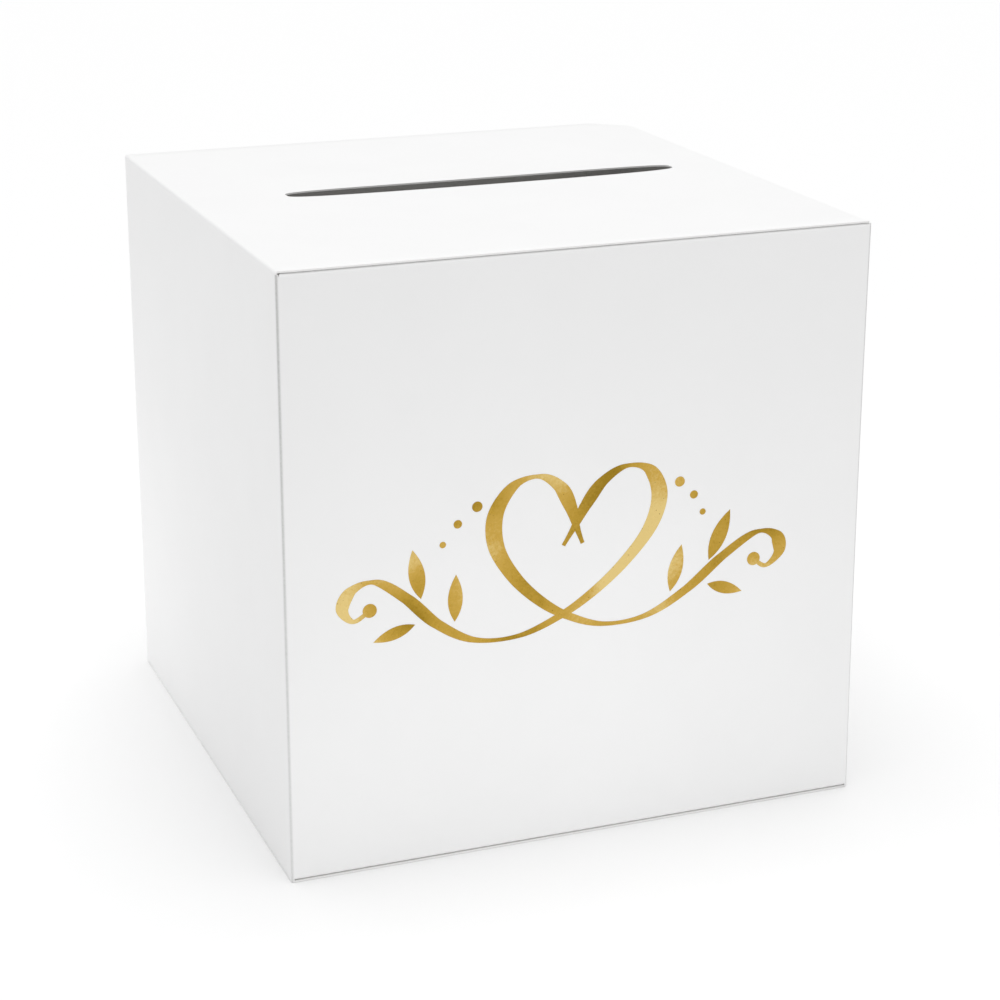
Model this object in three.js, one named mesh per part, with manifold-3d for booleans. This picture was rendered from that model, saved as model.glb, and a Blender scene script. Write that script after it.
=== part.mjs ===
// A free-standing wedding card box: a white folding carton cut and creased from one sheet of board.
// Four walls form a tube, closed by a glued flap. Each end has a closing panel with a tuck flap and
// two dust flaps under it. The top panel, the lid, has a posting slot, and the front wall carries
// a pen-drawn heart ornament in gold foil.
// Millimetres, +Z up. The origin is the middle of the underside, and the front wall faces -Y.
import * as THREE from "three";
import { mergeVertices } from "three/addons/utils/BufferGeometryUtils.js";
import Module from "manifold-3d";

const wasm = await Module();
wasm.setup();

// Carton
const BOX_SIZE = 240; // outer width, depth and height
const HALF = BOX_SIZE / 2;
const BOARD = 0.8; // thickness of the board
const CREASE_GAP = 0.2; // free space between two panels at a crease that moves
const REST_GAP = 0.2; // free space between the closing panel and the dust flaps under it
const INSIDE = HALF - BOARD; // from the middle of the box to the inner face of a wall

// Closing panels and their flaps
const PANEL_SIDE_GAP = 0.3; // closing panel inside the front and back faces
const TUCK_WALL_GAP = 0.3; // tuck crease to the wall that it slides down
const TUCK_DEPTH = 28;
const TUCK_LEAN = THREE.MathUtils.degToRad(4); // the flap leans inwards, so it clears the wall as it lifts
const TUCK_SIDE_GAP = 4; // flap end to the inner face of the front or back wall
const TUCK_CORNER = 18;
const TUCK_CREASE_GAP = 0.2; // panel to tuck flap
const DUST_DEPTH = 70;
const DUST_HINGE_SIDE_GAP = 1; // dust flap to the hinged wall, at the crease
const DUST_TAPER = 0.55; // how fast that edge runs away from the hinged wall
const DUST_SHOULDER = 3.5; // full-width strip of the dust flap beside its crease
const DUST_NOTCH = 6.8; // room for the tuck flap
const DUST_CORNER = 14;

// Posting slot, a long oval that narrows to both ends
const SLOT_LENGTH = 172;
const SLOT_WIDTH = 13;
const SLOT_X = 8;
const SLOT_Y = 10;
const SLOT_POWER = 3; // exponent of the oval: 2 is an ellipse, more is squarer
const SLOT_STEPS = 48;

// Manufacturer's joint
const GLUE_FLAP_WIDTH = 18;
const GLUE_FLAP_END_GAP = 4; // below the wall's own ends
const GLUE_FLAP_BEVEL = 10; // length of the slanted ends
const GLUE_LINE_WIDTH = 12;
const GLUE_THICKNESS = 0.1;

// Foil ornament on the front wall
const FOIL = 0.1; // modelled thickness of the foil
const ORNAMENT_X = -5;
const ORNAMENT_Z = 121;
const SLANT = 0.14; // sideways lean of the drawing for each millimetre of height
const HAIRLINE = 1.7; // pen width along a level stroke
const DOWNSTROKE = 6.9; // pen width along an upright stroke
const PEN_CONTRAST = 1.6; // exponent between the two
const PEN_TAPER = 0.1; // share of a stroke over which the pen is lifted at each end
const PEN_STEPS = 160;
const BALL_RADIUS = 2.8;
const DISC_SIDES = 24;
const ARC_STEPS = 8;

const finish = (color, roughness, metalness = 0) =>
  new THREE.MeshStandardMaterial({ color, roughness, metalness });
const coatedBoard = finish(0xf3f3f3, 0.5);
const glue = finish(0xe9e2cf, 0.6);
const goldFoil = finish(0xc9a23c, 0.3, 1);

function namedMesh(name, geometry, material) {
  const mesh = new THREE.Mesh(geometry, material);
  mesh.name = name;
  return mesh;
}

// A flat outline given the board's thickness, upwards from its own plane.
function cutBoard(outline, depth = BOARD) {
  return new THREE.ExtrudeGeometry(outline, { depth, bevelEnabled: false, curveSegments: ARC_STEPS });
}

// ---- Walls ----

// One upright wall between the heights low and high, centred on x and y.
function wall(name, width, depth, low, high, x, y) {
  const mesh = namedMesh(name, new THREE.BoxGeometry(width, depth, high - low), coatedBoard);
  mesh.position.set(x, y, (low + high) / 2);
  return mesh;
}

// The front and back walls stop under the creases of their dust flaps. The left wall ends at the
// lid's crease above and in a cut edge below. The right wall is the same, upside down.
function walls() {
  const face = HALF - BOARD / 2;
  const dustCrease = BOARD + REST_GAP + BOARD + CREASE_GAP;
  const panelCrease = BOARD + CREASE_GAP;
  return [
    wall("front_panel", BOX_SIZE, BOARD, dustCrease, BOX_SIZE - dustCrease, 0, -face),
    wall("back_panel", BOX_SIZE, BOARD, dustCrease, BOX_SIZE - dustCrease, 0, face),
    wall("left_panel", BOARD, 2 * INSIDE, 0, BOX_SIZE - panelCrease, -face, 0),
    wall("right_panel", BOARD, 2 * INSIDE, panelCrease, BOX_SIZE, face, 0),
  ];
}

// The flap that turns in from the right wall and is glued to the inside of the back wall.
function manufacturersJoint() {
  const low = GLUE_FLAP_END_GAP;
  const high = BOX_SIZE - GLUE_FLAP_END_GAP;
  const free = INSIDE - GLUE_FLAP_WIDTH;
  const outline = new THREE.Shape();
  outline.moveTo(INSIDE, low);
  outline.lineTo(INSIDE, high);
  outline.lineTo(free, high - GLUE_FLAP_BEVEL);
  outline.lineTo(free, low + GLUE_FLAP_BEVEL);
  outline.closePath();
  const flap = namedMesh("glue_flap", cutBoard(outline).rotateX(Math.PI / 2), coatedBoard);
  flap.position.y = INSIDE - GLUE_THICKNESS;

  const length = high - low - 2 * GLUE_FLAP_BEVEL;
  const strip = new THREE.BoxGeometry(GLUE_LINE_WIDTH, GLUE_THICKNESS, length);
  const line = namedMesh("glue_line", strip, glue);
  line.position.set(free + GLUE_FLAP_WIDTH / 2, INSIDE - GLUE_THICKNESS / 2, BOX_SIZE / 2);
  return [flap, line];
}

// ---- Closing panels, built as the top end: hinged on the left wall, tucked into the right ----

// The posting slot: a superellipse |x/a|^n + |y/b|^n = 1.
function slotOutline() {
  const points = [];
  for (let i = 0; i < SLOT_STEPS; i++) {
    const turn = (2 * Math.PI * i) / SLOT_STEPS;
    const along = Math.sign(Math.cos(turn)) * Math.abs(Math.cos(turn)) ** (2 / SLOT_POWER);
    const across = Math.sign(Math.sin(turn)) * Math.abs(Math.sin(turn)) ** (2 / SLOT_POWER);
    points.push(
      new THREE.Vector2(SLOT_X + (along * SLOT_LENGTH) / 2, SLOT_Y + (across * SLOT_WIDTH) / 2),
    );
  }
  return new THREE.Path(points);
}

const tuckCrease = INSIDE - TUCK_WALL_GAP; // outer face of the tuck flap at its crease

function closingPanel(name, slotted) {
  const side = HALF - PANEL_SIDE_GAP;
  const outline = new THREE.Shape();
  outline.moveTo(-HALF, -side);
  outline.lineTo(tuckCrease, -side);
  outline.lineTo(tuckCrease, side);
  outline.lineTo(-HALF, side);
  outline.closePath();
  if (slotted) outline.holes.push(slotOutline());
  const panel = namedMesh(name, cutBoard(outline), coatedBoard);
  panel.position.z = BOX_SIZE - BOARD;
  return panel;
}

// The tuck flap hangs from the panel's free end, turned about the inner line of the crease.
function tuckFlap(name) {
  const end = INSIDE - TUCK_SIDE_GAP;
  const corner = end - TUCK_CORNER;
  const low = -TUCK_DEPTH;
  const outline = new THREE.Shape();
  outline.moveTo(end, -TUCK_CREASE_GAP);
  outline.lineTo(-end, -TUCK_CREASE_GAP);
  outline.lineTo(-end, low + TUCK_CORNER);
  outline.absarc(-corner, low + TUCK_CORNER, TUCK_CORNER, Math.PI, 1.5 * Math.PI, false);
  outline.lineTo(corner, low);
  outline.absarc(corner, low + TUCK_CORNER, TUCK_CORNER, 1.5 * Math.PI, 2 * Math.PI, false);
  outline.closePath();
  const flap = namedMesh(name, cutBoard(outline).rotateX(Math.PI / 2).rotateZ(Math.PI / 2), coatedBoard);
  flap.position.set(tuckCrease - BOARD, 0, BOX_SIZE - BOARD);
  flap.rotation.y = TUCK_LEAN;
  return flap;
}

// A dust flap folds in from the front wall (side -1) or the back wall (side 1) and lies under the
// closing panel. Its edge beside the panel's hinge tapers, so the flap can spring up behind the panel.
function dustFlap(name, side) {
  const hingeEdge = -INSIDE + DUST_HINGE_SIDE_GAP;
  const tuckEdge = INSIDE - DUST_NOTCH;
  const reach = (depth) => side * (HALF - depth);
  const outline = new THREE.Shape();
  outline.moveTo(hingeEdge, reach(0));
  outline.lineTo(tuckCrease, reach(0));
  outline.lineTo(tuckCrease, reach(DUST_SHOULDER));
  outline.lineTo(tuckEdge, reach(2 * DUST_SHOULDER));
  outline.lineTo(tuckEdge, reach(DUST_DEPTH - DUST_CORNER));
  outline.quadraticCurveTo(tuckEdge, reach(DUST_DEPTH), tuckEdge - DUST_CORNER, reach(DUST_DEPTH));
  outline.lineTo(hingeEdge + DUST_TAPER * DUST_DEPTH, reach(DUST_DEPTH));
  outline.closePath();
  const flap = namedMesh(name, cutBoard(outline), coatedBoard);
  flap.position.z = BOX_SIZE - BOARD - REST_GAP - BOARD;
  return flap;
}

function closingEnd(panelName, flapPrefix, slotted) {
  const end = new THREE.Group();
  end.add(
    closingPanel(panelName, slotted),
    tuckFlap(flapPrefix + "_tuck_flap"),
    dustFlap(flapPrefix + "_dust_flap_front", -1),
    dustFlap(flapPrefix + "_dust_flap_back", 1),
  );
  return end;
}

// The bottom is the same end turned over: hinged on the right wall and tucked into the left.
function bottomEnd() {
  const end = closingEnd("bottom_panel", "bottom", false);
  end.rotation.y = Math.PI;
  end.position.z = BOX_SIZE;
  return end;
}

// ---- Foil ornament: drawn upright in its own plane, origin at its middle ----

// The right-hand half of the drawing. The left-hand half is its mirror image, and then all of it leans.
const HEART_STROKE = [
  [4, 2],
  [0.5, 9],
  [-3, 17],
  [-9, 26],
  [-18, 31],
  [-28, 28.5],
  [-34, 18],
  [-32, 5],
  [-23, -8],
  [-11, -19],
  [2, -27],
  [18, -32.5],
  [36, -31.5],
  [52, -23],
  [66, -11],
  [79, -3],
  [88, -5],
  [91, -12],
  [86, -17.5],
  [80, -14],
];
// Base, tip and widest part of each leaf beside the tail of the stroke
const LEAVES = [
  { base: [45, -23], tip: [47, -4], width: 6 },
  { base: [60, -12], tip: [66, 8], width: 6.5 },
  { base: [61, -22], tip: [77, -27], width: 5 },
];
// Middle and radius of each dot beside the heart
const DOTS = [
  { at: [42, 22], radius: 2.1 },
  { at: [49, 16], radius: 1.7 },
  { at: [54, 8.5], radius: 1.3 },
];

function drawn([across, up], side) {
  return new THREE.Vector2(side * across + SLANT * up, up);
}

// A pen stroke along a smooth line. The pen is wide where the line runs up or down and thin where it
// runs level, as a pointed nib is, and it is lifted at both ends.
function penStroke(points) {
  const line = new THREE.SplineCurve(points);
  const left = [];
  const right = [];
  for (let i = 0; i <= PEN_STEPS; i++) {
    const share = i / PEN_STEPS;
    const at = line.getPointAt(share);
    const along = line.getTangentAt(share);
    const lift = THREE.MathUtils.smoothstep(Math.min(share, 1 - share), 0, PEN_TAPER);
    const swell = Math.abs(along.y) ** PEN_CONTRAST * lift;
    const half = (HAIRLINE + (DOWNSTROKE - HAIRLINE) * swell) / 2;
    left.push(new THREE.Vector2(at.x - half * along.y, at.y + half * along.x));
    right.unshift(new THREE.Vector2(at.x + half * along.y, at.y - half * along.x));
  }
  return new THREE.Shape([...left, ...right]);
}

// A leaf with two curved sides that meet in points at its base and its tip.
function leaf({ base, tip, width }, side) {
  const from = drawn(base, side);
  const to = drawn(tip, side);
  const along = to.clone().sub(from);
  const across = new THREE.Vector2(-along.y, along.x).setLength(width);
  const belly = from.clone().addScaledVector(along, 0.45);
  const outline = new THREE.Shape();
  outline.moveTo(from.x, from.y);
  outline.quadraticCurveTo(belly.x + across.x, belly.y + across.y, to.x, to.y);
  outline.quadraticCurveTo(belly.x - across.x, belly.y - across.y, from.x, from.y);
  return outline;
}

function disc(at, radius) {
  const outline = new THREE.Shape();
  outline.absarc(at.x, at.y, radius, 0, 2 * Math.PI, false);
  return new THREE.ExtrudeGeometry(outline, {
    depth: FOIL,
    bevelEnabled: false,
    curveSegments: DISC_SIDES,
  });
}

// A closed geometry as a solid that can be joined to another, and back.
function toSolid(geometry) {
  const bare = geometry.clone();
  bare.deleteAttribute("normal");
  bare.deleteAttribute("uv");
  const merged = mergeVertices(bare);
  const mesh = new wasm.Mesh({
    numProp: 3,
    vertProperties: merged.attributes.position.array,
    triVerts: new Uint32Array(merged.index.array),
  });
  return new wasm.Manifold(mesh);
}

function toGeometry(solid) {
  const mesh = solid.getMesh();
  const geometry = new THREE.BufferGeometry();
  geometry.setAttribute("position", new THREE.BufferAttribute(mesh.vertProperties, 3));
  geometry.setIndex(new THREE.BufferAttribute(mesh.triVerts, 1));
  geometry.computeVertexNormals();
  return geometry;
}

// Both strokes of the heart with the ball at the end of each tail, in one piece of foil.
function heartScroll() {
  let joined;
  for (const side of [1, -1]) {
    const points = HEART_STROKE.map((point) => drawn(point, side));
    const ball = disc(points.at(-1), BALL_RADIUS);
    const stroke = toSolid(cutBoard(penStroke(points), FOIL)).add(toSolid(ball));
    joined = joined ? joined.add(stroke) : stroke;
  }
  return toGeometry(joined);
}

function ornament() {
  const group = new THREE.Group();
  group.add(namedMesh("foil_heart_scroll", heartScroll(), goldFoil));
  for (const [half, side] of [
    ["right", 1],
    ["left", -1],
  ]) {
    LEAVES.forEach((each, i) =>
      group.add(namedMesh(`foil_leaf_${half}_${i + 1}`, cutBoard(leaf(each, side), FOIL), goldFoil)),
    );
    DOTS.forEach(({ at, radius }, i) =>
      group.add(namedMesh(`foil_dot_${half}_${i + 1}`, disc(drawn(at, side), radius), goldFoil)),
    );
  }
  group.rotation.x = Math.PI / 2;
  group.position.set(ORNAMENT_X, -HALF, ORNAMENT_Z);
  return group;
}

const cardBox = new THREE.Group();
cardBox.name = "card_box";
cardBox.add(...walls(), ...manufacturersJoint(), closingEnd("lid_panel", "lid", true), bottomEnd());
cardBox.add(ornament());

export default cardBox;
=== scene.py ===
"""A white folding-carton card box with a gold foil ornament, on a pale studio floor."""

import math

import bmesh
import bpy
import numpy as np
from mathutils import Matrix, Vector


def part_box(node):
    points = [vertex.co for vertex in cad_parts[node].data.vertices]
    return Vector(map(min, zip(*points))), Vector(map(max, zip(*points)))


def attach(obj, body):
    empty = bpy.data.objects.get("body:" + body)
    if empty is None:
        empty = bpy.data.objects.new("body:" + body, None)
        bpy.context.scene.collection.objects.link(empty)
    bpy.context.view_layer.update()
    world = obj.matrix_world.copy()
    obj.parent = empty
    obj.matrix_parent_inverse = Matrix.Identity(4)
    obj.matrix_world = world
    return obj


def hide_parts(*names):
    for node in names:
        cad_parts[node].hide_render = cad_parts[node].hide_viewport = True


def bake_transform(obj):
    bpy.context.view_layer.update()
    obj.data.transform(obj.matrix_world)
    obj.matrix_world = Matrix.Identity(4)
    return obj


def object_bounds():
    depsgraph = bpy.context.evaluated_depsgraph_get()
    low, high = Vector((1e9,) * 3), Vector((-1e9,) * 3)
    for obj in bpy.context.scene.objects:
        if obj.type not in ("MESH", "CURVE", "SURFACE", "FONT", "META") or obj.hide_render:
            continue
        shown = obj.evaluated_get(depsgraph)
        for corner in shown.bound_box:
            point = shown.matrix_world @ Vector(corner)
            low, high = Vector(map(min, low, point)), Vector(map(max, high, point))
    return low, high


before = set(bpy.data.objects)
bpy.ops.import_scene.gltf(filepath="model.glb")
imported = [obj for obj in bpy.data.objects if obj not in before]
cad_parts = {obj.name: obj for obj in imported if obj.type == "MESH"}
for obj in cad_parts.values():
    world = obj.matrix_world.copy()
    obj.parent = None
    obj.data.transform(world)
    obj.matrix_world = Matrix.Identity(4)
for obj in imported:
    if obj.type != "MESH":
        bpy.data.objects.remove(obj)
cad_low, cad_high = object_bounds()

# ---------------------------------------------------------------- Camera
# Seen from a little to the left of the front wall and from above the lid, through a long lens, so
# that the upright edges stay nearly parallel.
CAMERA_AZIMUTH = math.radians(-21.0)
CAMERA_ELEVATION = math.radians(17.0)
CAMERA_DISTANCE = 1.056
CAMERA_LENS = 88.7
CAMERA_SHIFT_UP = -0.07
SENSOR_WIDTH = 36.0
AIM = Vector((0.0114, 0.0, 0.1328))

camera_data = bpy.data.cameras.new("camera")
camera_data.sensor_width = SENSOR_WIDTH
camera_data.lens = CAMERA_LENS
camera_data.shift_y = CAMERA_SHIFT_UP
camera_data.clip_start = 0.05
camera_data.clip_end = 100.0
camera = bpy.data.objects.new("camera", camera_data)
bpy.context.scene.collection.objects.link(camera)
away = Vector(
    (
        math.sin(CAMERA_AZIMUTH) * math.cos(CAMERA_ELEVATION),
        -math.cos(CAMERA_AZIMUTH) * math.cos(CAMERA_ELEVATION),
        math.sin(CAMERA_ELEVATION),
    )
)
camera.location = AIM + away * CAMERA_DISTANCE
camera.rotation_mode = "QUATERNION"
camera.rotation_quaternion = (-away).to_track_quat("-Z", "Y")
bpy.context.scene.camera = camera
bpy.context.scene.view_settings.view_transform = "Standard"


# ---------------------------------------------------------------- Floor and light
# A seamless white studio: a bright floor, an even surround, a broad light from straight above, and
# soft boxes low down in front and on the left that lift the lower parts of the walls.
MM = 0.001
FLOOR_REACH = 12.0
FLOOR_LEVEL = -0.05 * MM  # a hair below the board, so that the two faces never coincide
FLOOR_DULLEST = (0.9, 0.9, 0.9, 1.0)
FLOOR_BRIGHTEST = (0.905, 0.905, 0.905, 1.0)
SURROUND = (1.0, 1.0, 1.0, 1.0)
SURROUND_LIGHT = 0.608
SURROUND_SEEN = 1.05  # the backdrop itself, where the camera sees past the floor
OVERHEAD_POWER = 1.65
OVERHEAD_SPREAD = math.radians(60)
SEEPING_POWER = 0.045
SEEPING_RADIUS = 0.05
SEEPING_PLACE = (0.0, 0.0, 0.12)
SOFT_BOX_SPREAD = math.radians(110)  # keeps most of their light off the floor
# Each soft box: name, place, the point it is aimed at, width and height in metres, power in watts
SOFT_BOXES = (
    ("front_light", (-0.01, -0.36, 0.05), (-0.01, -0.12, 0.05), 0.24, 0.05, 0.032),
    ("left_light", (-0.3, 0.5, 0.06), (-0.12, 0.04, 0.06), 0.15, 0.08, 0.05),
    ("low_left_light", (-0.28, 0.18, 0.04), (-0.12, 0.08, 0.03), 0.1, 0.05, 0.0135),
)


def add_node(tree, kind, values=None, links=None, **settings):
    """Adds one node, sets its settings and input values, and links outputs of others to it."""
    made = tree.nodes.new(kind)
    for name, value in settings.items():
        setattr(made, name, value)
    for socket, value in (values or {}).items():
        made.inputs[socket].default_value = value
    for socket, source in (links or {}).items():
        tree.links.new(source, made.inputs[socket])
    return made


def new_material(name):
    """An empty node material and its Principled shader, already joined to the output."""
    material = bpy.data.materials.new(name)
    material.use_nodes = True
    tree = material.node_tree
    tree.nodes.clear()
    shader = add_node(tree, "ShaderNodeBsdfPrincipled")
    add_node(tree, "ShaderNodeOutputMaterial", links={"Surface": shader.outputs["BSDF"]})
    return material, tree, shader


def mix_colour(tree, share, first, second):
    """A Mix node between two colours, each a fixed colour or another node's output. Mixing colours,
    the node takes them at its inputs 6 and 7 and gives the result at its output 2."""
    mix = add_node(tree, "ShaderNodeMix", data_type="RGBA")
    for socket, source in (("Factor", share), (6, first), (7, second)):
        if isinstance(source, bpy.types.NodeSocket):
            tree.links.new(source, mix.inputs[socket])
        else:
            mix.inputs[socket].default_value = source
    return mix.outputs[2]


floor_material, floor_tree, floor_shader = new_material("studio_floor")
floor_shader.inputs["Roughness"].default_value = 0.9
floor_grain = add_node(floor_tree, "ShaderNodeTexNoise", {"Scale": 3.0, "Detail": 2.0})
floor_tree.links.new(
    mix_colour(floor_tree, floor_grain.outputs["Fac"], FLOOR_DULLEST, FLOOR_BRIGHTEST),
    floor_shader.inputs["Base Color"],
)
floor_mesh = bpy.data.meshes.new("floor")
floor_corners = [
    (x * FLOOR_REACH, y * FLOOR_REACH, FLOOR_LEVEL) for x, y in ((-1, -1), (1, -1), (1, 1), (-1, 1))
]
floor_mesh.from_pydata(floor_corners, [], [(0, 1, 2, 3)])
floor_mesh.materials.append(floor_material)
floor = bpy.data.objects.new("floor", floor_mesh)
bpy.context.scene.collection.objects.link(floor)

world = bpy.data.worlds.new("studio")
world.use_nodes = True
bpy.context.scene.world = world
world_tree = world.node_tree
world_tree.nodes.clear()
seen_or_lighting = add_node(world_tree, "ShaderNodeLightPath")
surround_power = add_node(
    world_tree,
    "ShaderNodeMapRange",
    {"To Min": SURROUND_LIGHT, "To Max": SURROUND_SEEN},
    {"Value": seen_or_lighting.outputs["Is Camera Ray"]},
)
surround = add_node(
    world_tree,
    "ShaderNodeBackground",
    {"Color": SURROUND},
    {"Strength": surround_power.outputs["Result"]},
)
add_node(world_tree, "ShaderNodeOutputWorld", links={"Surface": surround.outputs["Background"]})

overhead_data = bpy.data.lights.new("overhead_light", "SUN")
overhead_data.energy = OVERHEAD_POWER
overhead_data.angle = OVERHEAD_SPREAD
overhead = bpy.data.objects.new("overhead_light", overhead_data)
overhead.visible_glossy = False
bpy.context.scene.collection.objects.link(overhead)

# A little of the studio's light seeps through white board, which keeps the inside from being black
seeping_data = bpy.data.lights.new("seeping_light", "POINT")
seeping_data.energy = SEEPING_POWER
seeping_data.shadow_soft_size = SEEPING_RADIUS
seeping = bpy.data.objects.new("seeping_light", seeping_data)
seeping.location = SEEPING_PLACE
seeping.visible_camera = False
bpy.context.scene.collection.objects.link(seeping)

for light_name, place, aimed_at, width, height, power in SOFT_BOXES:
    light_data = bpy.data.lights.new(light_name, "AREA")
    light_data.shape = "RECTANGLE"
    light_data.size = width
    light_data.size_y = height
    light_data.energy = power
    light_data.spread = SOFT_BOX_SPREAD
    light = bpy.data.objects.new(light_name, light_data)
    light.location = place
    light.visible_camera = False
    light.visible_glossy = False
    light.rotation_mode = "QUATERNION"
    light.rotation_quaternion = (Vector(aimed_at) - Vector(place)).to_track_quat("-Z", "Y")
    bpy.context.scene.collection.objects.link(light)


# ---------------------------------------------------------------- The four walls
# One strip of white carton board, 0.8 mm thick, clay-coated on the outside and plain inside. It is
# creased and folded into a square tube, and a flap on the right wall is glued inside the back wall.
front_low, front_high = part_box("front_panel")
glue_low, glue_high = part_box("glue_flap")
BOARD = front_high.y - front_low.y
HALF = front_high.x
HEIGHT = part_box("right_panel")[1].z
FOLD = 1.3 * MM  # outer radius of a folded crease
FOLD_STEPS = 12
CELL = 4 * MM  # grid spacing on a flat panel
EDGE_STRIP = 0.15 * MM  # width of the pressed-down strip along a cut edge
EDGE_PRESS = 0.07 * MM
WELD_DISTANCE = 0.01 * MM
SHARP_ANGLE = math.radians(40)
GLUE_FLAP_BEVEL = 10 * MM
GLUE_FLAP_STEPS = 5
BACK_EDGE_INSET = 0.3 * MM  # the back wall's free edge stops short of the fold beside it
RIGHT_EDGE_INSET = 0.9 * MM  # the right wall's free edge stops below the lid's face

COATING_DULL = (0.89, 0.89, 0.89, 1)
COATING_BRIGHT = (0.902, 0.902, 0.902, 1)
# Painted shade: the grey laid down the middle of each fold
FOLD_SHADE_GREY = (0.42, 0.42, 0.415, 1)
INSIDE_DARK = (0.76, 0.755, 0.74, 1)
INSIDE_LIGHT = (0.83, 0.825, 0.812, 1)
PULP_DARK = (0.82, 0.818, 0.81, 1)
PULP_LIGHT = (0.9, 0.898, 0.892, 1)

WALL_BOW = 0.35 * MM  # how far the walls stand out of true in their middles
RIGHT_EDGE_HOLLOW = 0.7 * MM
LID_SAG = 0.5 * MM
CORNER_DROP = 2.4 * MM
CORNER_DROP_X = 19 * MM
CORNER_DROP_Y = 16 * MM


def settle(points):
    """The assembled carton's slight distortions, as a displacement of any point of it: each wall
    bows by the product of two parabolas that vanish at its folds, with a slow ripple; the right
    wall is drawn in at mid-height; the lid sags by the same product; and the top corner behind
    on the right is pressed down along a slanted line."""
    x, y = points[:, 0] / HALF, points[:, 1] / HALF
    z = np.clip(points[:, 2] / HEIGHT, 0.0, 1.0)
    rise = 4 * z * (1 - z)
    span_x, span_y = np.clip(1 - x**2, 0, 1), np.clip(1 - y**2, 0, 1)
    ripple_x = np.sin(4.1 * x + 5.3 * z + 0.6)
    ripple_y = np.sin(3.7 * y - 4.9 * z + 1.9)
    moved = np.array(points, float)
    moved[:, 1] += y**5 * rise * span_x * WALL_BOW * (0.5 + 0.6 * ripple_x)
    moved[:, 0] += x**5 * rise * span_y * WALL_BOW * (0.5 + 0.6 * ripple_y)
    moved[:, 0] -= np.clip(x, 0, 1) ** 5 * rise * RIGHT_EDGE_HOLLOW
    moved[:, 2] -= z**16 * span_x * span_y * LID_SAG
    corner = 1 - (HALF - points[:, 0]) / CORNER_DROP_X - (HALF - points[:, 1]) / CORNER_DROP_Y
    near_top = np.clip((z - 0.85) / 0.15, 0, 1) ** 2
    moved[:, 2] -= np.clip(corner, 0, 1) ** 1.2 * near_top * CORNER_DROP
    return moved


def fold_line(start, heading, moves):
    """A line made of straight runs (length, steps) and turns (angle, steps) of radius FOLD, angles
    in degrees and positive to the left. Gives its points, the unit normals to its left, a fold
    value that rises to 1 in the middle of each turn, and how many turns lie behind, and a half
    within a turn."""
    points, normals, folds, passed = [], [], [], []
    at = np.array(start, float)
    angle = math.radians(heading)
    turns = 0
    for kind, amount, steps in moves:
        share = np.linspace(0, 1, steps + 1)[1 if points else 0 :]
        along = np.array([math.cos(angle), math.sin(angle)])
        left = np.array([-along[1], along[0]])
        if kind == "run":
            points.append(at + share[:, None] * amount * along)
            normals.append(np.tile(left, (len(share), 1)))
            folds.append(0 * share)
            passed.append(turns + 0 * share)
        else:
            side = math.copysign(1, amount)
            turned = angle + share * math.radians(amount)
            lefts = np.stack([-np.sin(turned), np.cos(turned)], 1)
            points.append(at + side * FOLD * (left - lefts))
            normals.append(lefts)
            folds.append(np.sin(math.pi * share))
            passed.append(turns + 0.5 + 0 * share)
            angle += math.radians(amount)
            turns += 1
        at = points[-1][-1]
    return tuple(np.concatenate(part) for part in (points, normals, folds, passed))


def grid_quads(rows, columns):
    """The four corner numbers of every cell of a grid stored row by row."""
    corner = (np.arange(rows - 1)[:, None] * columns + np.arange(columns - 1)).ravel()
    return np.stack([corner, corner + 1, corner + columns + 1, corner + columns], 1)


def spread(low, high, cell=CELL, edge=EDGE_STRIP):
    """Evenly spaced values from low to high, about a cell apart, and one more close to each end."""
    values = np.linspace(low, high, max(2, round(abs(high - low) / cell) + 1))
    step = math.copysign(edge, high - low)
    return np.concatenate([values[:1], [low + step], values[1:-1], [high - step], values[-1:]])


def weld(pieces):
    """Joins grids that share edges: points in the same small cell of space become one. Each grid is
    (points, outward normals, fold values, quads)."""
    starts = np.cumsum([0] + [len(p[0]) for p in pieces])
    points, normals, folds = (np.concatenate([p[k] for p in pieces]) for k in range(3))
    quads = np.concatenate([p[3] + start for p, start in zip(pieces, starts)])
    keys = np.round(points / WELD_DISTANCE).astype(np.int64)
    _, first, back = np.unique(keys, axis=0, return_index=True, return_inverse=True)
    return points[first], normals[first], folds[first], back.reshape(-1)[quads]


def new_object(name, points, faces, material_of_face=None):
    """A mesh object from point and face arrays, smooth except across sharp edges."""
    mesh = bpy.data.meshes.new(name)
    mesh.from_pydata(points.tolist(), [], faces.tolist())
    if material_of_face is not None:
        mesh.polygons.foreach_set("material_index", material_of_face.astype(np.int32))
    mesh.shade_smooth()
    mesh.set_sharp_from_angle(angle=SHARP_ANGLE)
    mesh.update()
    made = bpy.data.objects.new(name, mesh)
    bpy.context.scene.collection.objects.link(made)
    return made


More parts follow.
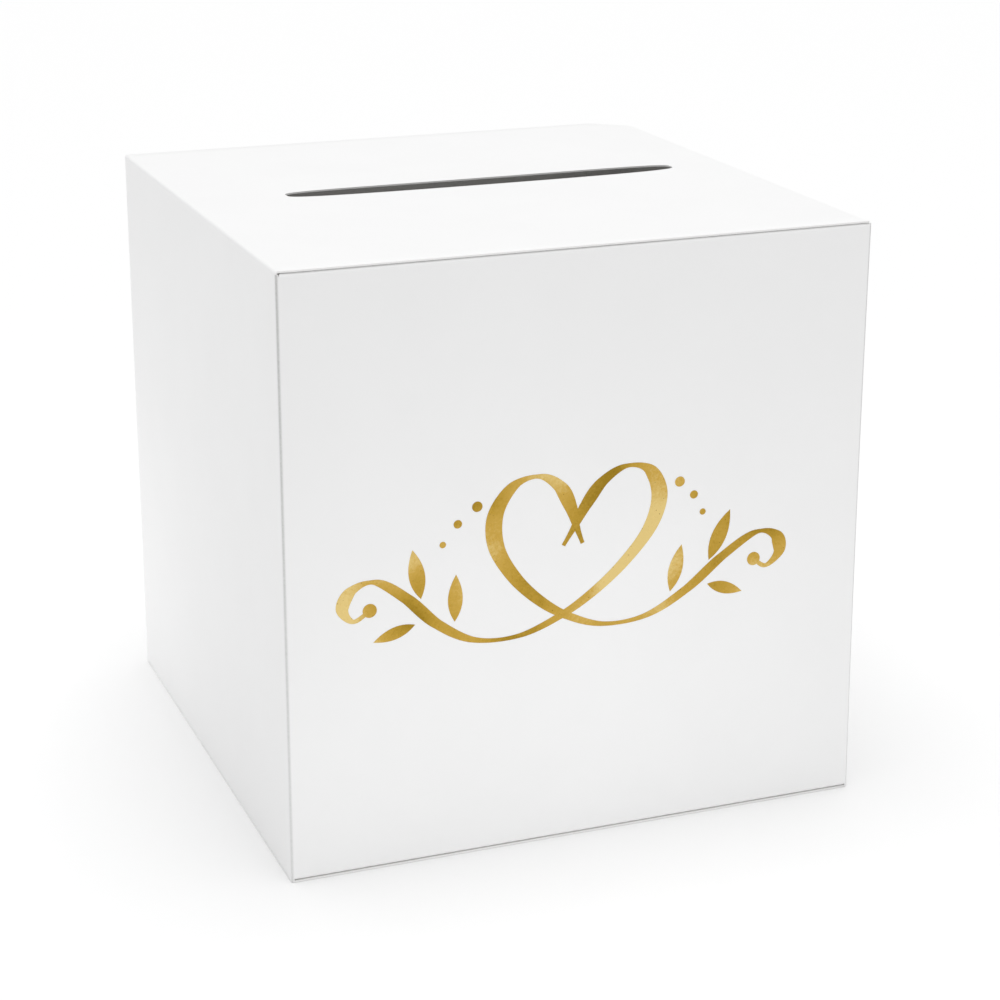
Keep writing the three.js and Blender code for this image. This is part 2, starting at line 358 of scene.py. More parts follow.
def board_piece(name, points, normals, folds, quads, joined):
    """A piece of board from its outer face, which is turned to face along the normals. The inner
    face lies BOARD behind it, and a cut edge joins the two all round. Both faces are pressed down
    a little along a cut edge, but not where a joined point says that the board carries on."""
    count = len(points)
    a, b, c = (points[quads[:, i]] for i in (0, 1, 2))
    away = np.einsum("ij,ij->i", np.cross(b - a, c - b), normals[quads[:, 0]]) < 0
    quads = np.where(away[:, None], quads[:, ::-1], quads)
    edges = np.concatenate([quads[:, [i, (i + 1) % 4]] for i in range(4)])
    rim = edges[~np.isin(edges @ (count, 1), edges @ (1, count))]
    pressed = np.zeros((count, 1))
    pressed[np.unique(rim)] = EDGE_PRESS
    pressed[joined] = 0
    outer = settle(points) - normals * pressed
    inner = settle(points) - normals * (BOARD - pressed)
    rim_quads = np.stack([rim[:, 1], rim[:, 0], rim[:, 0] + count, rim[:, 1] + count], 1)
    faces = np.concatenate([quads, quads[:, ::-1] + count, rim_quads])
    material_of_face = np.repeat([0, 1, 2], [len(quads), len(quads), len(rim_quads)])
    made = new_object(name, np.concatenate([outer, inner]), faces, material_of_face)
    for material in (coated_face, plain_face, cut_edge):
        made.data.materials.append(material)
    # The fold values set how strongly painted shade greys the middle of each fold
    fold = made.data.attributes.new("fold", "FLOAT", "POINT")
    fold.data.foreach_set("value", np.concatenate([folds, folds]).astype(np.float32))
    return made


def paper_group():
    """Node group for the texture of board: slow clouds in its whiteness and fine fibres. Takes the
    fibres' density per metre and gives both as masks, and a height."""
    tree = bpy.data.node_groups.new("paper_texture", "ShaderNodeTree")
    tree.interface.new_socket("Fibre Scale", in_out="INPUT", socket_type="NodeSocketFloat")
    for name in ("Cloud", "Fibre", "Height"):
        tree.interface.new_socket(name, in_out="OUTPUT", socket_type="NodeSocketFloat")
    given = add_node(tree, "NodeGroupInput")
    place = add_node(tree, "ShaderNodeTexCoord")
    cloud = add_node(
        tree,
        "ShaderNodeTexNoise",
        {"Scale": 28.0, "Detail": 4.0, "Roughness": 0.55},
        {"Vector": place.outputs["Object"]},
    )
    fibre = add_node(
        tree,
        "ShaderNodeTexNoise",
        {"Detail": 5.0, "Roughness": 0.65, "Distortion": 1.2},
        {"Vector": place.outputs["Object"], "Scale": given.outputs["Fibre Scale"]},
    )
    height = add_node(
        tree,
        "ShaderNodeMath",
        {1: 0.35},
        {0: cloud.outputs["Fac"], 2: fibre.outputs["Fac"]},
        operation="MULTIPLY_ADD",
    )
    add_node(
        tree,
        "NodeGroupOutput",
        links={
            "Cloud": cloud.outputs["Fac"],
            "Fibre": fibre.outputs["Fac"],
            "Height": height.outputs["Value"],
        },
    )
    return tree


paper_texture = paper_group()


def paper_in(tree, scale):
    """Places the paper texture in a material."""
    return add_node(tree, "ShaderNodeGroup", {"Fibre Scale": scale}, node_tree=paper_texture)


def range_of(tree, source, low, high, from_low=0.3, from_high=0.7):
    """Stretches a mask to run from low to high."""
    return add_node(
        tree,
        "ShaderNodeMapRange",
        {"From Min": from_low, "From Max": from_high, "To Min": low, "To Max": high},
        {"Value": source},
    ).outputs["Result"]


def bump_of(tree, height, distance):
    """A normal that makes a mask of heights stand up by the distance."""
    return add_node(
        tree, "ShaderNodeBump", {"Strength": 1.0, "Distance": distance}, {"Height": height}
    ).outputs["Normal"]


def coated_board():
    """Smooth clay-coated white: a satin sheen with faint clouding and fibres just showing through,
    and down the middle of each fold a thin greyer line of painted shade, broken up by the fibres."""
    material, tree, shader = new_material("coated_board")
    paper = paper_in(tree, 900.0)
    cloud = range_of(tree, paper.outputs["Cloud"], 0, 1)
    white = mix_colour(tree, cloud, COATING_DULL, COATING_BRIGHT)
    # Painted shade: a grey line down the middle of each fold, broken up by the fibres
    fold = add_node(tree, "ShaderNodeAttribute", attribute_name="fold").outputs["Fac"]
    line = add_node(tree, "ShaderNodeMath", {1: 2.0}, {0: fold}, operation="POWER")
    fold_shade_breakup = range_of(tree, paper.outputs["Fibre"], 0.6, 0.9)
    painted_fold_shade = add_node(
        tree, "ShaderNodeMath", links={0: line.outputs["Value"], 1: fold_shade_breakup}, operation="MULTIPLY"
    )
    colour = mix_colour(tree, painted_fold_shade.outputs["Value"], white, FOLD_SHADE_GREY)
    tree.links.new(colour, shader.inputs["Base Color"])
    tree.links.new(range_of(tree, paper.outputs["Fibre"], 0.38, 0.5), shader.inputs["Roughness"])
    shader.inputs["IOR"].default_value = 1.45
    shader.inputs["Specular IOR Level"].default_value = 0.35
    tree.links.new(bump_of(tree, paper.outputs["Height"], 0.012 * MM), shader.inputs["Normal"])
    return material


def plain_board():
    """The uncoated inside: matt, a little greyer and warmer, with visible fibres."""
    material, tree, shader = new_material("plain_board")
    paper = paper_in(tree, 420.0)
    tone = range_of(tree, paper.outputs["Fibre"], 0, 1)
    tree.links.new(mix_colour(tree, tone, INSIDE_DARK, INSIDE_LIGHT), shader.inputs["Base Color"])
    shader.inputs["Roughness"].default_value = 0.85
    shader.inputs["Specular IOR Level"].default_value = 0.2
    tree.links.new(bump_of(tree, paper.outputs["Height"], 0.05 * MM), shader.inputs["Normal"])
    return material


def board_edge():
    """The cut edge, where the pressed layers of pulp show as fine uneven streaks."""
    material, tree, shader = new_material("board_edge")
    paper = paper_in(tree, 2600.0)
    tone = range_of(tree, paper.outputs["Fibre"], 0, 1)
    tree.links.new(mix_colour(tree, tone, PULP_DARK, PULP_LIGHT), shader.inputs["Base Color"])
    shader.inputs["Roughness"].default_value = 0.9
    shader.inputs["Specular IOR Level"].default_value = 0.15
    tree.links.new(bump_of(tree, paper.outputs["Height"], 0.06 * MM), shader.inputs["Normal"])
    return material


coated_face = coated_board()
plain_face = plain_board()
cut_edge = board_edge()

lid_fold_start = HEIGHT - FOLD  # the left wall ends here, and the lid's fold begins
dust_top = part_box("lid_dust_flap_front")[1].z
dust_fold_start = dust_top - FOLD
flat_width = 2 * (HALF - FOLD)
flat_steps = round(flat_width / CELL)
glue_face = glue_high.y  # outer face of the glue flap
wall_line, wall_normals, wall_folds, turns_passed = fold_line(
    (glue_low.x, glue_face),
    0,
    (
        ("run", EDGE_STRIP, 1),
        ("run", HALF - FOLD - glue_low.x - EDGE_STRIP, GLUE_FLAP_STEPS),
        ("turn", -90, FOLD_STEPS),
        ("run", flat_width - (HALF - glue_face), flat_steps),
        ("turn", -90, FOLD_STEPS),
        ("run", EDGE_STRIP, 1),
        ("run", flat_width - EDGE_STRIP, flat_steps),
        ("turn", -90, FOLD_STEPS),
        ("run", flat_width, flat_steps),
        ("turn", -90, FOLD_STEPS),
        ("run", EDGE_STRIP, 1),
        ("run", flat_width + FOLD - BACK_EDGE_INSET - 2 * EDGE_STRIP, flat_steps),
        ("run", EDGE_STRIP, 1),
    ),
)
# The folds belong to the side walls, so each half number goes to the odd one beside it
in_turn = turns_passed % 1 > 0
wall_number = np.where(in_turn, 2 * (turns_passed // 2) + 1, turns_passed).astype(int)
# Lower and upper end of each stretch: glue flap, right, front, left and back wall. An end is
# joined where a panel or flap carries on from it.
wall_ends = np.array(
    (
        (glue_low.z, glue_high.z),
        (FOLD, HEIGHT - RIGHT_EDGE_INSET),
        (HEIGHT - dust_fold_start, dust_fold_start),
        (0.0, lid_fold_start),
        (HEIGHT - dust_fold_start, dust_fold_start),
    )
)
low_joined = np.array((False, True, True, False, True))[wall_number]
high_joined = np.array((False, False, True, True, True))[wall_number]
low_end, high_end = wall_ends[wall_number].T
bevel = np.clip(1 - (wall_line[:, 0] - glue_low.x) / (HALF - FOLD - glue_low.x), 0, 1)
bevel = np.where(wall_number == 0, bevel * GLUE_FLAP_BEVEL, 0.0)
up_share = spread(0, 1, CELL / HEIGHT, EDGE_STRIP / HEIGHT)
wall_z = (low_end + bevel)[:, None] + up_share * (high_end - low_end - 2 * bevel)[:, None]
rows, columns = wall_z.shape
wall_points = np.concatenate([np.repeat(wall_line[:, None], columns, 1), wall_z[..., None]], 2)
wall_joined = np.zeros((rows, columns), bool)
wall_joined[:, 0] = low_joined
wall_joined[:, -1] = high_joined
fold_shade_to_top = 0.7 + 0.3 * up_share  # painted shade on the upright folds, darker towards the top
walls = board_piece(
    "folded_walls",
    wall_points.reshape(-1, 3),
    np.repeat(np.concatenate([wall_normals, np.zeros((rows, 1))], 1), columns, 0),
    (wall_folds[:, None] * fold_shade_to_top).ravel(),
    grid_quads(rows, columns),
    wall_joined.ravel(),
)
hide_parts("front_panel", "left_panel", "back_panel", "right_panel", "glue_flap")
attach(walls, "walls")


# ---------------------------------------------------------------- Glue line
# A thin line of white glue, laid on by machine and dried hard, that holds the glue flap to the
# inside of the back wall.
GLUE_DARK = (0.75, 0.7, 0.58, 1)
GLUE_LIGHT = (0.86, 0.83, 0.75, 1)


def dried_glue():
    """Translucent-looking off-white, slightly glossy and uneven."""
    material, tree, shader = new_material("dried_glue")
    place = add_node(tree, "ShaderNodeTexCoord").outputs["Object"]
    blotch = add_node(tree, "ShaderNodeTexNoise", {"Scale": 160.0, "Detail": 3.0}, {"Vector": place})
    colour = mix_colour(tree, blotch.outputs["Fac"], GLUE_DARK, GLUE_LIGHT)
    tree.links.new(colour, shader.inputs["Base Color"])
    tree.links.new(range_of(tree, blotch.outputs["Fac"], 0.25, 0.5), shader.inputs["Roughness"])
    tree.links.new(bump_of(tree, blotch.outputs["Fac"], 0.1 * MM), shader.inputs["Normal"])
    return material


glue_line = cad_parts["glue_line"]
glue_line.data.materials.clear()
glue_line.data.materials.append(dried_glue())


# ---------------------------------------------------------------- Dust flaps
# Two flaps of the same board at each end of the tube, creased to the front and back walls and
# folded in under the closing panel. The edge beside the panel's hinge tapers, and the other has a
# notch for the tuck flap.
flap_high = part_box("lid_dust_flap_front")[1]
DUST_DEPTH = flap_high.y - cad_low.y
DUST_TAPER = 0.55
DUST_SHOULDER = 3.2 * MM  # the full width ends this far in from the crease
DUST_NOTCH_START = 4.6 * MM  # and the notch, clear of the tuck flap's side, begins here
DUST_NOTCH = 6.8 * MM
DUST_CORNER = 14 * MM
CORNER_GAP = 0.05 * MM  # between the flap's tapering edge and the left wall's fold
FLAP_FOLD_SHADE = 0.1  # these folds get only a faint line of painted shade
ROUNDING_STEPS = 10


def rounding(depth, whole, radius):
    """How far a side edge draws in at each depth, for a free end with quarter-round corners."""
    into_corner = np.clip((depth - whole + radius) / radius, 0, 1)
    return radius * (1 - np.sqrt(1 - into_corner**2))


def flap_depths(whole, radius):
    """Depths for the flat part of a flap: even steps, then closer ones round its corners."""
    even = spread(0, whole - radius)[:-2]
    corner = whole - radius + radius * np.sin(np.linspace(0, math.pi / 2, ROUNDING_STEPS))
    return np.concatenate([even, corner[:-1], [whole - EDGE_STRIP, whole]])


def hinged_flap(bend, depths, low_edge, high_edge):
    """A flap as a grid: each row runs from its low edge to its high edge along the crease. The
    profile is a fold turning by bend degrees from upright and then a straight stretch. Gives
    place along the crease, distance in and height above the fold's start, with normals."""
    line, normals, folds, _ = fold_line(
        (0, 0), 90, (("turn", -bend, FOLD_STEPS), ("run", MM, 1))
    )
    along = (line[-1] - line[-2]) / MM
    length = np.concatenate([FOLD * np.radians(np.linspace(0, bend, FOLD_STEPS + 1)), depths])
    line = np.concatenate([line[:-1], line[-2] + depths[:, None] * along])
    normals = np.concatenate([normals[:-1], np.tile(normals[-1], (len(depths), 1))])
    # Only a faint painted shade along this flap's fold
    folds = FLAP_FOLD_SHADE * np.concatenate([folds[:-1], 0 * depths])
    low, high = low_edge(line[:, 0], length), high_edge(line[:, 0], length)
    share = spread(0, 1, CELL / (2 * HALF), EDGE_STRIP / (2 * HALF))
    across = low[:, None] + share * (high - low)[:, None]
    rows, columns = across.shape
    points = np.stack([across.ravel(), *np.repeat(line, columns, 0).T], 1)
    out = np.stack([0 * across.ravel(), *np.repeat(normals, columns, 0).T], 1)
    joined = np.repeat(np.arange(rows) == 0, columns)
    return points, out, np.repeat(folds, columns), grid_quads(rows, columns), joined


def dust_hinge_edge(depth, _):
    """The tapering edge beside the closing panel's hinge."""
    return -HALF + FOLD + CORNER_GAP + DUST_TAPER * depth


def dust_tuck_edge(depth, _):
    """The edge beside the tuck flap: full width at the crease, then the notch and the corner."""
    notched = HALF - BOARD - DUST_NOTCH
    edge = np.interp(depth, (DUST_SHOULDER, DUST_NOTCH_START), (flap_high.x, notched))
    return edge - rounding(depth, DUST_DEPTH, DUST_CORNER)


def turned_over(points, places=True):
    """Half a turn about the level line from front to back through the box's middle, which makes
    the bottom end from the top end. Directions turn too, and only places are shifted."""
    return np.array(points) * (-1, 1, -1) + (0, 0, HEIGHT if places else 0)


dust_depths = flap_depths(DUST_DEPTH - FOLD, DUST_CORNER)
dust_depths = np.sort(np.append(dust_depths, (DUST_SHOULDER - FOLD, DUST_NOTCH_START - FOLD)))
dust = hinged_flap(90, dust_depths, dust_hinge_edge, dust_tuck_edge)
for end in ("lid", "bottom"):
    for side, where in ((-1, "front"), (1, "back")):
        points, normals, folds, quads, joined = dust
        points = points * (1, -side, 1) + (0, side * HALF, dust_fold_start)
        normals = normals * (1, -side, 1)
        crease = (0, side * (HALF - BOARD), dust_fold_start)
        inside = (0, side * (HALF - FOLD), dust_top - BOARD)
        if end == "bottom":
            points, crease, inside = turned_over(points), turned_over(crease), turned_over(inside)
            normals = turned_over(normals, places=False)
        flap = board_piece(f"{end}_dust_{where}", points, normals, folds, quads, joined)
        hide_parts(f"{end}_dust_flap_{where}")
        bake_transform(flap)


# ---------------------------------------------------------------- Lid and bottom panel
# The closing panels, of the same board, creased to the left wall above and to the right wall
# below. They lie on the dust flaps with their cut edges showing at the front and back. The lid has
# the posting slot, punched as a long oval with blunt ends.
panel_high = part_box("lid_panel")[1]
PANEL_SIDE = panel_high.y
PANEL_START = -HALF + FOLD
TUCK_START = panel_high.x - FOLD
TUCK_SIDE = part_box("lid_tuck_flap")[1].y
TAB_START = TUCK_SIDE + 0.4 * MM  # beyond this the free end is a small tab, cut free of the flap
TAB_REACH = 1.2 * MM
RELIEF = 0.3 * MM  # how much narrower the panel is at its hinge
RELIEF_LENGTH = 3 * MM
SLOT_LENGTH = 172 * MM
SLOT_WIDTH = 14.5 * MM
SLOT_X = 8 * MM
SLOT_Y = 10 * MM
SLOT_POWER = 4  # a higher one makes the ends blunter
RING_ROWS = 30
RING_CROWDING = 1.7
EDGE_RING = 0.0015  # share of the way across at which the rings beside a cut edge lie
ON_LINE = MM / 100  # how close a point lies to a line that it is on


def panel_levels():
    """Places across the panel, with a line at each tab's start."""
    side = np.array((PANEL_SIDE - EDGE_STRIP, PANEL_SIDE))
    return np.concatenate([-side[::-1], spread(-TAB_START, TAB_START), side])


def slotted_flat(levels):
    """The flat part of the lid as rings between the slot and the outline. Scaled to a square about
    the slot's centre, each outline point goes with the point of the oval |x|^n + |y|^n = 1 in the
    same direction, and the rings between them crowd towards the slot."""
    lengths = spread(PANEL_START, TUCK_START)
    low, high = PANEL_START + 0 * levels, TUCK_START + 0 * levels
    outline = np.concatenate(
        [
            np.stack([lengths, -PANEL_SIDE + 0 * lengths], 1)[:-1],
            np.stack([high, levels], 1)[:-1],
            np.stack([lengths, PANEL_SIDE + 0 * lengths], 1)[:0:-1],
            np.stack([low, levels], 1)[::-1],
        ]
    )
    offset = outline - (SLOT_X, SLOT_Y)
    reach_up = (TUCK_START - SLOT_X, PANEL_SIDE - SLOT_Y)
    reach_down = (SLOT_X - PANEL_START, PANEL_SIDE + SLOT_Y)
    square = offset / np.where(offset > 0, reach_up, reach_down)
    size = (np.abs(square) ** SLOT_POWER).sum(1, keepdims=True) ** (1 / SLOT_POWER)
    slot = (SLOT_X, SLOT_Y) + square / size * (SLOT_LENGTH / 2, SLOT_WIDTH / 2)
    share = np.linspace(0, 1, RING_ROWS) ** RING_CROWDING
    share = np.sort(np.append(share, (EDGE_RING, 1 - EDGE_RING)))[:, None, None]
    flat = (slot + share * (outline - slot)).reshape(-1, 2)
    return flat, grid_quads(len(share), len(outline))


def plain_flat(levels):
    """The flat part of the bottom panel as a plain grid."""
    lengths = spread(PANEL_START, TUCK_START)
    across, along = np.meshgrid(levels, lengths)
    return np.stack([along.ravel(), across.ravel()], 1), grid_quads(len(lengths), len(levels))


def closing_panel(flat_part):
    """The panel with its hinge fold, as the top end. Its edge at the free end reaches out as tabs
    beyond the tuck flap's ends, and its sides draw in a little at the hinge."""
    levels = panel_levels()
    flat, flat_quads = flat_part(levels)
    tab = (flat[:, 0] > TUCK_START - ON_LINE) & (np.abs(flat[:, 1]) > TAB_START + ON_LINE)
    top = np.concatenate([flat, np.full((len(flat), 1), HEIGHT)], 1)
    top[:, 0] += tab * TAB_REACH
    up = np.tile((0.0, 0.0, 1.0), (len(flat), 1))
    line, normals, folds, _ = fold_line((-HALF, lid_fold_start), 90, (("turn", -90, FOLD_STEPS),))
    rows, columns = len(line), len(levels)
    fold_points = np.insert(np.repeat(line, columns, 0), 1, np.tile(levels, rows), axis=1)
    fold_normals = np.insert(np.repeat(normals, columns, 0), 1, 0, axis=1)
    # The hinge fold carries only a faint painted shade
    grids = (
        (fold_points, fold_normals, FLAP_FOLD_SHADE * np.repeat(folds, columns), grid_quads(rows, columns)),
        (top, up, np.zeros(len(top)), flat_quads),
    )
    points, normals, folds, quads = weld(grids)
    narrowed = np.clip(1 - (points[:, 0] - PANEL_START) / RELIEF_LENGTH, 0, 1)
    points[:, 1] *= 1 - narrowed * RELIEF / PANEL_SIDE
    at_wall = points[:, 2] < lid_fold_start + ON_LINE
    at_tuck = (points[:, 0] > TUCK_START - ON_LINE) & (np.abs(points[:, 1]) < TAB_START - ON_LINE)
    return points, normals, folds, quads, at_wall | at_tuck


lid = board_piece("lid", *closing_panel(slotted_flat))
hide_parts("lid_panel")
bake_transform(lid)

points, normals, folds, quads, joined = closing_panel(plain_flat)
bottom = board_piece(
    "bottom", turned_over(points), turned_over(normals, places=False), folds, quads, joined
)
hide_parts("bottom_panel")
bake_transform(bottom)


# ---------------------------------------------------------------- Tuck flaps
# The closing panel's free end folds down into a flap with round corners, which slides between the
# far wall and the dust flaps and holds the end shut by friction. It leans in a little.
TUCK_LEAN = 4
TUCK_CORNER = 18 * MM
TUCK_LENGTH = 27.4 * MM  # straight part, below the fold


def tuck_side_edge(_, length):
    """Half the flap's width at a length along its profile."""
    return TUCK_SIDE - rounding(length, TUCK_LENGTH, TUCK_CORNER)


tuck_points, tuck_normals, tuck_folds, tuck_quads, tuck_joined = hinged_flap(
    90 + TUCK_LEAN,
    flap_depths(TUCK_LENGTH, TUCK_CORNER),
    lambda depth, length: -tuck_side_edge(depth, length),
    tuck_side_edge,
)
# The profile starts upright, so it is turned a quarter to start level at the panel's end
tuck_points = tuck_points[:, [2, 0, 1]] * (1, 1, -1) + (TUCK_START, 0, HEIGHT)
tuck_normals = tuck_normals[:, [2, 0, 1]] * (1, 1, -1)
lean = math.radians(TUCK_LEAN)
tuck_crease = (TUCK_START, 0, HEIGHT - BOARD)
tuck_inside = (
    TUCK_START + (FOLD - BOARD) * math.cos(lean),
    0,
    HEIGHT - FOLD - (FOLD - BOARD) * math.sin(lean),
)
for end in ("lid", "bottom"):
    points, normals, crease, inside = tuck_points, tuck_normals, tuck_crease, tuck_inside
    if end == "bottom":
        points, crease, inside = turned_over(points), turned_over(crease), turned_over(inside)
        normals = turned_over(normals, places=False)
    flap = board_piece(f"{end}_tuck", points, normals, tuck_folds, tuck_quads, tuck_joined)
    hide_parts(f"{end}_tuck_flap")
    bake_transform(flap)


# ---------------------------------------------------------------- Gold foil ornament
# A heart that runs out into two scrolls, with leaves and dots beside it, drawn as if with a
# pointed nib. It is thin gold foil pressed on to the front wall with a hot die, so its surface is
# very slightly uneven.
ORNAMENT_X = -5 * MM
ORNAMENT_Z = 121 * MM
SLANT = 0.14
HAIRLINE = 1.7 * MM
DOWNSTROKE = 6.9 * MM
PEN_CONTRAST = 1.6
PEN_TAPER = 0.1
PEN_STEPS = 420
CURVE_STEPS = 40  # steps for each corner of a drawn line, before they are evened out
BALL_RADIUS = 2.8 * MM
SHAPE_STEPS = 40
FOIL_PROUD = 0.08 * MM
FOIL_SUNK = 0.02 * MM
FOIL_BEVEL = 0.06 * MM
FOIL_WELD = 0.002 * MM
LEAF_BELLY = 0.45  # how far along a leaf its widest part lies
# Where each tone of gold lies along the foil's slow drift, and its colour. The drift is painted
# reflection: deep gold for the studio's darker parts, pale gold for its brighter ones
GOLD_AND_REFLECTION_TONES = (
    (0.46, (0.332, 0.204, 0.0195, 1)),
    (0.56, (0.49, 0.306, 0.045, 1)),
    (0.66, (0.588, 0.378, 0.079, 1)),
    (0.76, (0.76, 0.575, 0.225, 1)),
)
PINHOLE = (0.16, 0.09, 0.015, 1)
# The right-hand half of the drawing, in millimetres across and up. The other half is its mirror
# image, and then all of it leans.
HEART_STROKE = (
    (4, 2),
    (0.5, 9),
    (-3, 17),
    (-9, 26),
    (-18, 31),
    (-28, 28.5),
    (-34, 18),
    (-32, 5),
    (-23, -8),
    (-11, -19),
    (2, -27),
    (18, -32.5),
    (36, -31.5),
    (52, -23),
    (66, -11),
    (79, -3),
    (88, -5),
    (91, -12),
    (86, -17.5),
    (80, -14),
)
# Base, tip and width of each leaf, and middle and radius of each dot
LEAVES = (((45, -23), (47, -4), 6), ((60, -12), (66, 8), 6.5), ((61, -22), (77, -27), 5))
DOTS = (((42, 22), 2.1), ((49, 16), 1.7), ((54, 8.5), 1.3))


def drawn(points, side):
    """Points of the drawing on the given side, leaning, in metres."""
    across, up = np.moveaxis(np.array(points, float) * MM, -1, 0)
    return np.stack([side * across + SLANT * up, up], -1)


def smooth_line(corners, count):
    """Evenly spaced points on the Catmull-Rom curve through the corners."""
    padded = np.concatenate([corners[:1], corners, corners[-1:]])
    place = np.linspace(0, len(corners) - 1, CURVE_STEPS * len(corners))
    first = np.minimum(place.astype(int), len(corners) - 2)
    t = (place - first)[:, None]
    a, b, c, d = (padded[first + i] for i in range(4))
    curve = b + t * (c - a) / 2 + t**2 * (a - 2.5 * b + 2 * c - d / 2)
    curve += t**3 * (3 * b - a - 3 * c + d) / 2
    length = np.concatenate([[0], np.cumsum(np.linalg.norm(np.diff(curve, axis=0), axis=1))])
    even = np.linspace(0, length[-1], count)
    return np.stack([np.interp(even, length, curve[:, k]) for k in (0, 1)], 1)


def pen_stroke(corners):
    """The two sides of a pen stroke. The pen's width goes from a hairline where the line is level
    to the full width where it is upright, and it is lifted at both ends."""
    line = smooth_line(corners, PEN_STEPS)
    along = np.gradient(line, axis=0)
    along /= np.linalg.norm(along, axis=1, keepdims=True)
    share = np.linspace(0, 1, PEN_STEPS)
    lift = np.clip(np.minimum(share, 1 - share) / PEN_TAPER, 0, 1)
    swell = np.abs(along[:, 1]) ** PEN_CONTRAST * lift**2 * (3 - 2 * lift)
    half = (HAIRLINE + (DOWNSTROKE - HAIRLINE) * swell)[:, None] / 2
    left = np.stack([-along[:, 1], along[:, 0]], 1)
    return line + half * left, line - half * left


def leaf_sides(base, tip, width, side):
    """The two sides of a leaf: arcs of a parabola from base to tip, bulging both ways."""
    start, finish = drawn(base, side), drawn(tip, side)
    along = finish - start
    across = np.array([-along[1], along[0]]) / np.linalg.norm(along) * width * MM
    belly = start + LEAF_BELLY * along
    t = np.linspace(0, 1, SHAPE_STEPS)[:, None]
    return tuple(
        (1 - t) ** 2 * start + 2 * t * (1 - t) * (belly + bulge * across) + t**2 * finish
        for bulge in (1, -1)
    )


def disc_sides(middle, radius):
    """The two halves of a circle, both from its left to its right."""
    turn = np.linspace(math.pi, 0, SHAPE_STEPS)
    return tuple(
        middle + radius * np.stack([np.cos(turn), half * np.sin(turn)], 1) for half in (1, -1)
    )


def foil_solid(name, left, right):
    """A thin closed solid between two side lines. Its section is a flat top with bevelled edges
    over a flat back, and both ends are closed."""
    middle = (left + right) / 2
    width = np.linalg.norm(left - right, axis=1, keepdims=True)
    inward = 1 - 2 * np.minimum(FOIL_BEVEL, width / 4) / np.maximum(width, MM / 1000)
    inner_left, inner_right = (middle + (side - middle) * inward for side in (left, right))
    outline = np.stack([left, inner_left, inner_right, right], 1)
    depth = np.array([FOIL_SUNK, -FOIL_PROUD, -FOIL_PROUD, FOIL_SUNK])
    points = np.stack(
        [outline[..., 0], np.broadcast_to(depth, outline.shape[:2]), outline[..., 1]], -1
    ).reshape(-1, 3)
    rows = len(left)
    row = np.arange(rows - 1)[:, None, None] * 4
    ring = np.array([[i, (i + 1) % 4, (i + 1) % 4 + 4, i + 4] for i in range(4)])
    last = 4 * rows - 4
    caps = np.array([[3, 2, 1, 0], [last, last + 1, last + 2, last + 3]])
    quads = np.concatenate([(row + ring).reshape(-1, 4), caps])
    made = new_object(name, points + (ORNAMENT_X, -HALF, ORNAMENT_Z), quads)
    shape = bmesh.new()
    shape.from_mesh(made.data)
    bmesh.ops.remove_doubles(shape, verts=shape.verts, dist=FOIL_WELD)
    bmesh.ops.recalc_face_normals(shape, faces=shape.faces)
    shape.to_mesh(made.data)
    shape.free()
    return made


def joined_foil(name, solids):
    """One solid from overlapping flat ones, by exact union."""
    whole = solids[0]
    for other in solids[1:]:
        union = whole.modifiers.new("union", "BOOLEAN")
        union.operation = "UNION"
        union.solver = "EXACT"
        union.object = other
        evaluated = whole.evaluated_get(bpy.context.evaluated_depsgraph_get())
        mesh = bpy.data.meshes.new_from_object(evaluated)
        whole.modifiers.clear()
        whole.data = mesh
        bpy.data.objects.remove(other)
    whole.name = name
    return whole


def laid_on_wall(foil, nodes):
    """Finishes a foil shape: it follows the front wall's face and gets its material and its body."""
    flat = np.zeros(3 * len(foil.data.vertices))
    foil.data.vertices.foreach_get("co", flat)
    foil.data.vertices.foreach_set("co", settle(flat.reshape(-1, 3)).ravel())
    foil.data.shade_smooth()
    foil.data.set_sharp_from_angle(angle=SHARP_ANGLE)
    foil.data.materials.clear()
    foil.data.materials.append(gold_foil)
    foil.data.update()
    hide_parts(nodes)
    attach(foil, "walls")


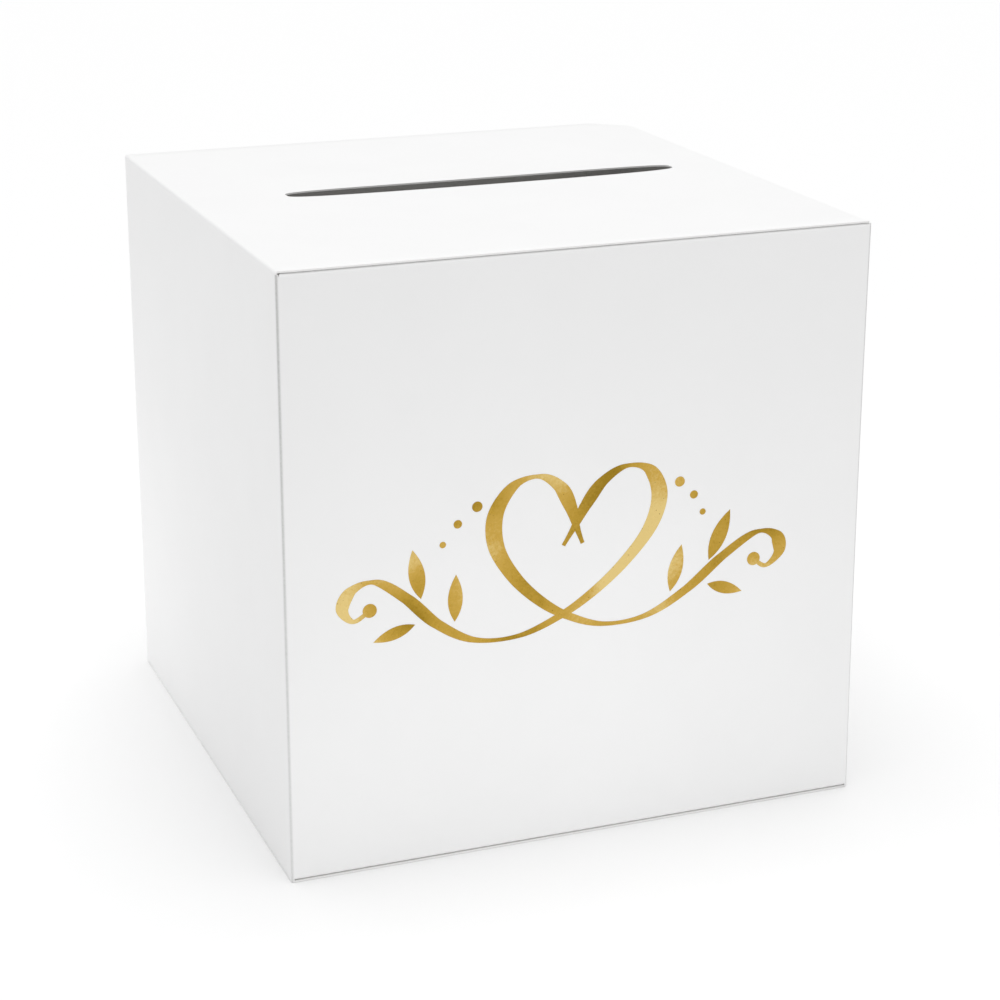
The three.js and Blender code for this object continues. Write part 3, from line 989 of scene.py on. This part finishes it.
def crinkled_gold():
    """Bright metal whose tone drifts slowly from deep to pale gold, a painted reflection of the
    studio's darker and brighter parts, broken up by fine mottling. The board's tooth shows through as
    tiny crinkles, and in a few pinholes the foil has not taken."""
    material, tree, shader = new_material("gold_foil")
    place = add_node(tree, "ShaderNodeTexCoord").outputs["Object"]
    # Painted reflection: slow clouds of deep and pale gold stand in for the studio's darker and
    # brighter parts
    painted_reflection_drift = add_node(
        tree, "ShaderNodeTexNoise", {"Scale": 26.0, "Detail": 2.0, "Roughness": 0.4}, {"Vector": place}
    ).outputs["Fac"]
    mottle = add_node(
        tree,
        "ShaderNodeTexNoise",
        {"Scale": 700.0, "Detail": 4.0, "Roughness": 0.7, "Distortion": 0.6},
        {"Vector": place},
    ).outputs["Fac"]
    tone = add_node(
        tree, "ShaderNodeMath", {1: 0.22}, {0: mottle, 2: painted_reflection_drift}, operation="MULTIPLY_ADD"
    ).outputs["Value"]
    golds = add_node(tree, "ShaderNodeValToRGB", links={"Fac": tone})
    golds.color_ramp.elements.remove(golds.color_ramp.elements[0])
    golds.color_ramp.elements[0].position = GOLD_AND_REFLECTION_TONES[0][0]
    golds.color_ramp.elements[0].color = GOLD_AND_REFLECTION_TONES[0][1]
    for position, colour in GOLD_AND_REFLECTION_TONES[1:]:
        golds.color_ramp.elements.new(position).color = colour
    pinhole = add_node(
        tree, "ShaderNodeTexVoronoi", {"Scale": 420.0, "Randomness": 1.0}, {"Vector": place}
    ).outputs["Distance"]
    tree.links.new(
        mix_colour(tree, range_of(tree, pinhole, 1, 0, 0.04, 0.1), golds.outputs["Color"], PINHOLE),
        shader.inputs["Base Color"],
    )
    shader.inputs["Metallic"].default_value = 1.0
    tree.links.new(range_of(tree, mottle, 0.24, 0.4), shader.inputs["Roughness"])
    tree.links.new(bump_of(tree, tone, 0.25 * MM), shader.inputs["Normal"])
    return material


gold_foil = crinkled_gold()
heart_parts = []
for side, half in ((1, "right"), (-1, "left")):
    corners = drawn(HEART_STROKE, side)
    heart_parts.append(foil_solid(f"stroke_{half}", *pen_stroke(corners)))
    heart_parts.append(foil_solid(f"ball_{half}", *disc_sides(corners[-1], BALL_RADIUS)))
    for i, (base, tip, width) in enumerate(LEAVES, 1):
        leaf = foil_solid(f"gold_leaf_{half}_{i}", *leaf_sides(base, tip, width, side))
        laid_on_wall(leaf, f"foil_leaf_{half}_{i}")
    for i, (middle, radius) in enumerate(DOTS, 1):
        dot = foil_solid(f"gold_dot_{half}_{i}", *disc_sides(drawn(middle, side), radius * MM))
        laid_on_wall(dot, f"foil_dot_{half}_{i}")
laid_on_wall(joined_foil("gold_heart_scroll", heart_parts), "foil_heart_scroll")
